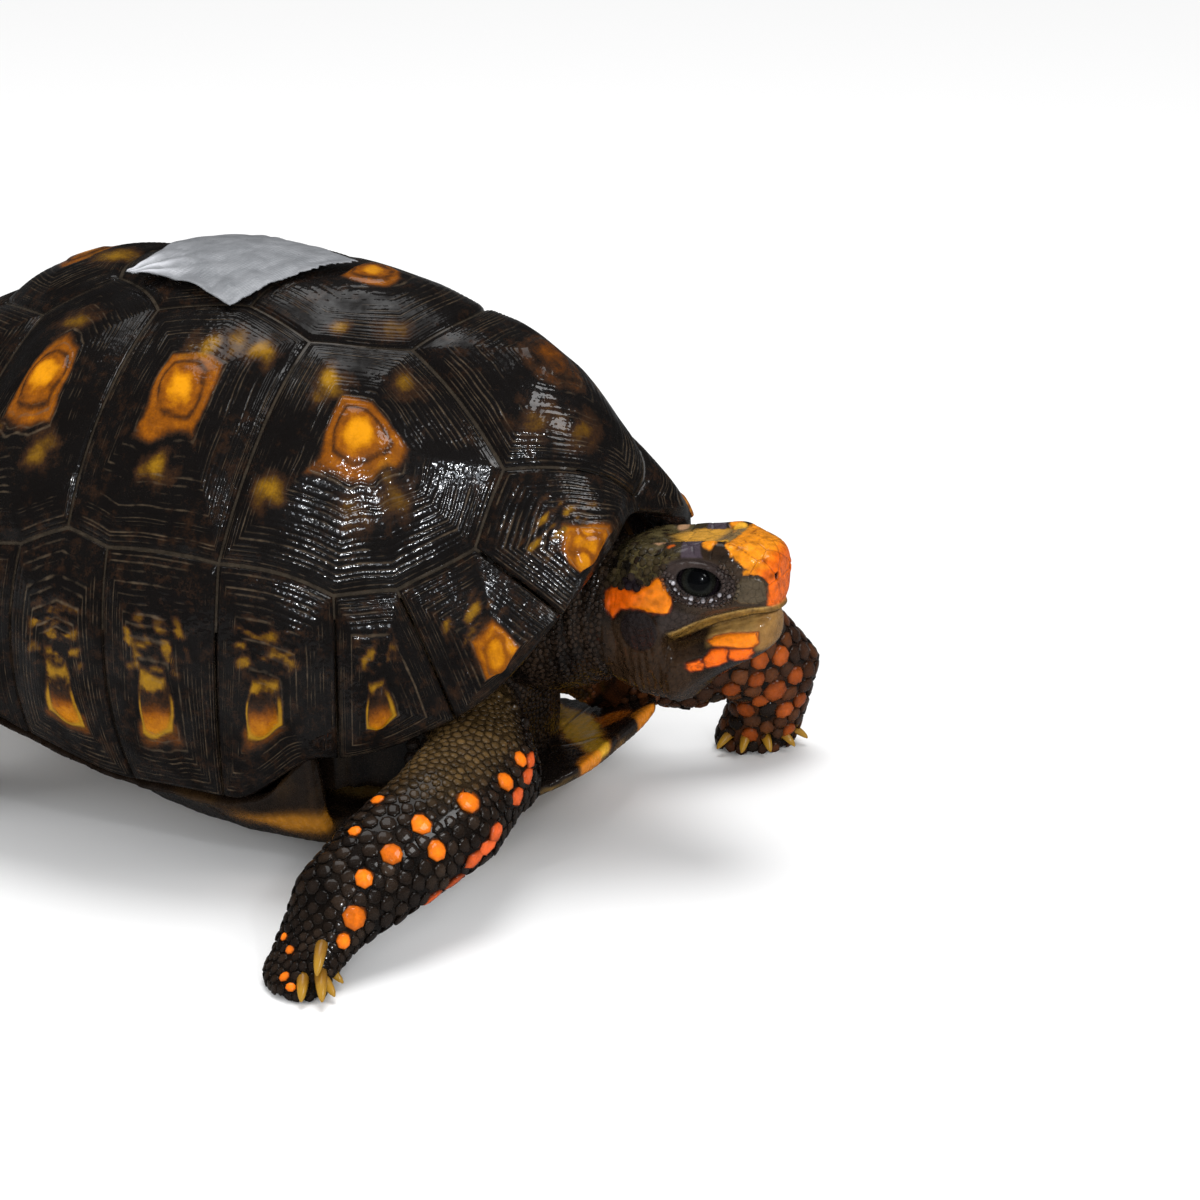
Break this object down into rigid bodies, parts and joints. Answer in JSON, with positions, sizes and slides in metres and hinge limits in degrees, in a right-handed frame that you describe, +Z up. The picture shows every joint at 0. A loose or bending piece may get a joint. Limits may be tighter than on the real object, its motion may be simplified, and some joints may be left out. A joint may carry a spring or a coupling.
{
  "type": "tortoise",
  "caption": "Life-size still display model of a red-footed tortoise standing mid stride, with a patch of silver cloth tape on top of its shell.",
  "frame": {"origin": "on the floor under the middle of the footprint's bounding box, level with the soles", "axes": "+Z up from the floor, -Y the way the head faces, +X the animal's left side"},
  "size_m": [0.261, 0.3384, 0.1763],
  "materials": {
    "scute_black": "wet gloss",
    "belly_horn": "satin",
    "skin_brown": "damp satin",
    "jaw_horn": "satin",
    "eye_black": "high gloss",
    "claw_horn": "gloss",
    "tape_grey": "semi-gloss"
  },
  "bodies": {
    "root": {"vertebral_1": "scute_black", "vertebral_2": "scute_black", "vertebral_3": "scute_black", "vertebral_4": "scute_black", "vertebral_5": "scute_black", "costal_1_left": "scute_black", "costal_2_left": "scute_black", "costal_3_left": "scute_black", "costal_4_left": "scute_black", "costal_1_right": "scute_black", "costal_2_right": "scute_black", "costal_3_right": "scute_black", "costal_4_right": "scute_black", "marginals_front_left": "scute_black", "marginals_bridge_left": "scute_black", "marginals_rear_left": "scute_black", "marginals_front_right": "scute_black", "marginals_bridge_right": "scute_black", "marginals_rear_right": "scute_black", "supracaudal": "scute_black", "plastron_front": "belly_horn", "plastron_bridge": "belly_horn", "plastron_rear": "belly_horn", "trunk": "skin_brown", "neck": "skin_brown", "head": "skin_brown", "tail": "skin_brown", "leg_fore_left": "skin_brown", "leg_fore_right": "skin_brown", "leg_hind_left": "skin_brown", "leg_hind_right": "skin_brown", "lower_jaw": "jaw_horn", "eye_left": "eye_black", "eye_right": "eye_black", "claw_fore_left_1": "claw_horn", "claw_fore_left_2": "claw_horn", "claw_fore_left_3": "claw_horn", "claw_fore_left_4": "claw_horn", "claw_fore_left_5": "claw_horn", "claw_fore_right_1": "claw_horn", "claw_fore_right_2": "claw_horn", "claw_fore_right_3": "claw_horn", "claw_fore_right_4": "claw_horn", "claw_fore_right_5": "claw_horn", "claw_hind_left_1": "claw_horn", "claw_hind_left_2": "claw_horn", "claw_hind_left_3": "claw_horn", "claw_hind_left_4": "claw_horn", "claw_hind_right_1": "claw_horn", "claw_hind_right_2": "claw_horn", "claw_hind_right_3": "claw_horn", "claw_hind_right_4": "claw_horn", "tape_patch": "tape_grey"}
  },
  "joints": []
}
